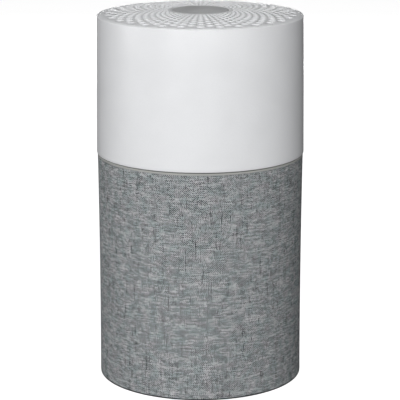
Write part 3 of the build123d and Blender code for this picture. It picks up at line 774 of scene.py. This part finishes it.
class PURIFIER_OT_inside(bpy.types.Operator):
    """Finishes of the CAD parts inside: filter, deck, fan, motor and electronics"""
    bl_idname = "purifier.inside"
    bl_label = "Inside Finishes"

    def execute(self, context):
        # Blasted mould: plain white with a soft sheen.
        white = moulded("satin_moulded_white_abs", srgb("#E4E4E2"), 0.45)
        # Grained mould: a matt grey that stays dark in the groove under the housing.
        grey = moulded(
            "grained_moulded_grey_abs", srgb("#4B4D4F"), 0.55, grain=0.7 * MM, relief=0.03 * MM,
        )
        # Grained mould: matt charcoal with a pebbled surface.
        dark = moulded(
            "grained_moulded_charcoal_polypropylene", srgb("#2E3032"), 0.55, grain=0.7 * MM,
            relief=0.05 * MM, variation=0.15,
        )
        # Cast foam: chalky, with fine open cells.
        foam = moulded(
            "cast_polyurethane_foam", srgb("#D3D3CE"), 0.9, grain=0.8 * MM, relief=0.25 * MM,
            variation=0.12, gloss=0.2,
        )
        # Blown fibres: flat white with a felted grain.
        paper = moulded(
            "pleated_melt_blown_fleece", srgb("#F0F0EC"), 0.95, grain=0.35 * MM, relief=0.12 * MM,
            variation=0.06, gloss=0.15,
        )
        # Fleece with carbon grains: sooty black and rough.
        carbon = moulded(
            "carbon_loaded_fleece", srgb("#1D1E20"), 0.95, grain=1.1 * MM, relief=0.4 * MM,
            variation=0.3, gloss=0.2,
        )
        # Woven tape: dark and dull, with a ribbed grain.
        tape = moulded(
            "woven_polyester_tape", srgb("#4B4E51"), 0.85, grain=0.5 * MM, relief=0.2 * MM,
            variation=0.2, gloss=0.2,
        )
        # Solder mask over glass fibre: smooth green with clear highlights.
        board = moulded("solder_masked_board", srgb("#1F5A3A"), 0.35, variation=0.1)
        # Transfer-moulded epoxy: black with a faint sheen.
        parts = moulded("moulded_black_epoxy", srgb("#191A1B"), 0.4)
        # Pressed ferrite: dull blue-black.
        magnet = moulded("bonded_ferrite", srgb("#26272A"), 0.6, grain=0.4 * MM, relief=0.05 * MM)
        # Zinc on turned and pressed steel: bright, slightly clouded reflections.
        steel = plated("zinc_plated_steel", srgb("#C9CACB"), 0.32)
        # Stamped sheets in a stack: dull grey metal.
        lamination = plated("stacked_electrical_steel", srgb("#7C7F82"), 0.45)
        # Lacquered copper wire: warm orange with sharp glints.
        copper = plated("enamelled_copper_wire", srgb("#B8683C"), 0.35)
        finishes = {
            grey: ["lower_deck"],
            white: ["filter_core", "inlet_guard", "fan_shroud", "guide_vanes", "hub_cover",
                    "button_base", "impeller"],
            dark: ["base_tray", "sleeve_cage"],
            foam: ["filter_lower_cap", "filter_upper_cap", "filter_seal"],
            paper: ["filter_media"],
            carbon: ["carbon_layer"],
            tape: ["filter_pull_tab"],
            board: ["driver_board", "button_board"],
            parts: ["board_parts", "tact_switch"],
            magnet: ["rotor_magnets"],
            steel: ["base_screws", "deck_screws", "bearing_stem", "motor_bearings", "impeller_nut",
                    "rotor_bell", "motor_shaft"],
            lamination: ["motor_stator"],
            copper: ["motor_windings"],
        }
        for finish, nodes in finishes.items():
            for node in nodes:
                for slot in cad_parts[node].material_slots:
                    slot.material = finish
        return {"FINISHED"}


class PURIFIER_OT_stage(bpy.types.Operator):
    """Pale floor, white surroundings, soft lights and the camera"""
    bl_idname = "purifier.stage"
    bl_label = "Stage"

    def execute(self, context):
        settings = context.scene.purifier_stage
        self.floor()
        self.surroundings(context.scene)
        middle = Vector((0, 0, 0.19))
        for name, azimuth, elevation, distance, width, height, power in (
            ("left_light", -80, 14, 2.4, 1.0, 1.2, 22.4),
            ("key_light", -20, 14, 2.4, 1.0, 1.2, 19.6),
            ("front_light", 10, 14, 2.4, 1.0, 1.2, 22.8),
            ("right_light", 40, 14, 2.4, 1.0, 1.2, 12.3),
            ("top_light", 0, 88, 2.2, 1.4, 1.4, 6.0),
            ("back_light", 180, 55, 2.4, 1.0, 1.2, 17.0),
            ("low_back_light", 180, -2, 2.4, 1.0, 0.5, 14.0),
        ):
            self.light(name, middle, azimuth, elevation, distance, (width, height), power)
        camera = bpy.data.cameras.new("camera")
        camera.sensor_width = 36.0
        camera.lens = settings.focal_length
        camera.clip_end = 50.0
        viewer = bpy.data.objects.new("camera", camera)
        viewer.location = (-settings.camera_aside, -settings.camera_distance, settings.camera_height)
        viewer.rotation_euler = (math.pi / 2 - settings.camera_tilt, 0, 0)
        context.scene.collection.objects.link(viewer)
        context.scene.camera = viewer
        context.scene.view_settings.view_transform = "Standard"
        return {"FINISHED"}

    def floor(self):
        """White floor that shows soft shadows and throws no light back on the object."""
        bm = bmesh.new()
        bmesh.ops.create_circle(bm, cap_ends=True, segments=96, radius=12.0)
        mesh = bpy.data.meshes.new("floor")
        bm.to_mesh(mesh)
        bm.free()
        # Matt paint: even white with soft shadows.
        made, tree, shader = new_material("matt_white_table")
        place = add_node(tree, "ShaderNodeTexCoord")
        grain = add_node(
            tree, "ShaderNodeTexNoise", {"Scale": 1 / (3 * MM), "Detail": 2.0},
            {"Vector": place.outputs["Object"]},
        )
        tone = add_node(
            tree, "ShaderNodeMapRange", {"To Min": 0.34, "To Max": 0.36}, {"Value": grain.outputs["Fac"]}
        )
        tree.links.new(tone.outputs["Result"], shader.inputs["Base Color"])
        shader.inputs["Roughness"].default_value = 0.9
        shader.inputs["Specular IOR Level"].default_value = 0.0
        shader.inputs["Emission Color"].default_value = (1.0, 1.0, 1.0, 1.0)
        shader.inputs["Emission Strength"].default_value = 0.92
        mesh.materials.append(made)
        floor = bpy.data.objects.new("floor", mesh)
        floor.visible_diffuse = False
        floor.visible_glossy = False
        bpy.context.scene.collection.objects.link(floor)

    def surroundings(self, scene):
        """White beyond the floor, seen by the camera only."""
        world = bpy.data.worlds.new("white_room")
        world.use_nodes = True
        world.node_tree.nodes["Background"].inputs["Color"].default_value = (1.0, 1.0, 1.0, 1.0)
        scene.world = world
        world.cycles_visibility.diffuse = False
        world.cycles_visibility.glossy = False

    def light(self, name, target, azimuth, elevation, distance, size, power):
        """Soft panel aimed at the object; azimuth 0 is the front and 90 the right."""
        data = bpy.data.lights.new(name, "AREA")
        data.shape = "RECTANGLE"
        data.size, data.size_y = size
        data.energy = power
        turn, rise = math.radians(azimuth), math.radians(elevation)
        away = Vector((
            math.sin(turn) * math.cos(rise), -math.cos(turn) * math.cos(rise), math.sin(rise)
        ))
        lamp = bpy.data.objects.new(name, data)
        lamp.location = target + away * distance
        lamp.rotation_euler = away.to_track_quat("Z", "Y").to_euler()
        lamp.visible_camera = False
        bpy.context.scene.collection.objects.link(lamp)


class PURIFIER_PT_panel(bpy.types.Panel):
    """Sizes, colours and pieces of the purifier"""
    bl_idname = "PURIFIER_PT_panel"
    bl_label = "Round Air Purifier"
    bl_space_type = "VIEW_3D"
    bl_region_type = "UI"
    bl_category = "Purifier"

    def draw(self, context):
        for operator in OPERATORS:
            self.layout.operator(operator.bl_idname)
        for name, group in SETTINGS.items():
            box = self.layout.box()
            settings = getattr(context.scene, name)
            for key in group.__annotations__:
                box.prop(settings, key)


SETTINGS = {
    "purifier_housing": HousingSettings,
    "purifier_grille": GrilleSettings,
    "purifier_button": ButtonSettings,
    "purifier_sleeve": SleeveSettings,
    "purifier_stage": StageSettings,
}
OPERATORS = (
    PURIFIER_OT_housing,
    PURIFIER_OT_grille,
    PURIFIER_OT_button,
    PURIFIER_OT_top_ring,
    PURIFIER_OT_sleeve,
    PURIFIER_OT_gland,
    PURIFIER_OT_feet,
    PURIFIER_OT_inside,
    PURIFIER_OT_stage,
)


def register():
    for group in SETTINGS.values():
        bpy.utils.register_class(group)
    for name, group in SETTINGS.items():
        setattr(bpy.types.Scene, name, bpy.props.PointerProperty(type=group))
    for operator in OPERATORS:
        bpy.utils.register_class(operator)
    bpy.utils.register_class(PURIFIER_PT_panel)


def unregister():
    bpy.utils.unregister_class(PURIFIER_PT_panel)
    for operator in reversed(OPERATORS):
        bpy.utils.unregister_class(operator)
    for name, group in reversed(SETTINGS.items()):
        delattr(bpy.types.Scene, name)
        bpy.utils.unregister_class(group)


def main():
    register()
    bpy.ops.purifier.housing()
    bpy.ops.purifier.grille()
    bpy.ops.purifier.button()
    bpy.ops.purifier.top_ring()
    bpy.ops.purifier.sleeve()
    bpy.ops.purifier.gland()
    bpy.ops.purifier.feet()
    bpy.ops.purifier.inside()
    bpy.ops.purifier.stage()


if __name__ == "__main__":
    main()
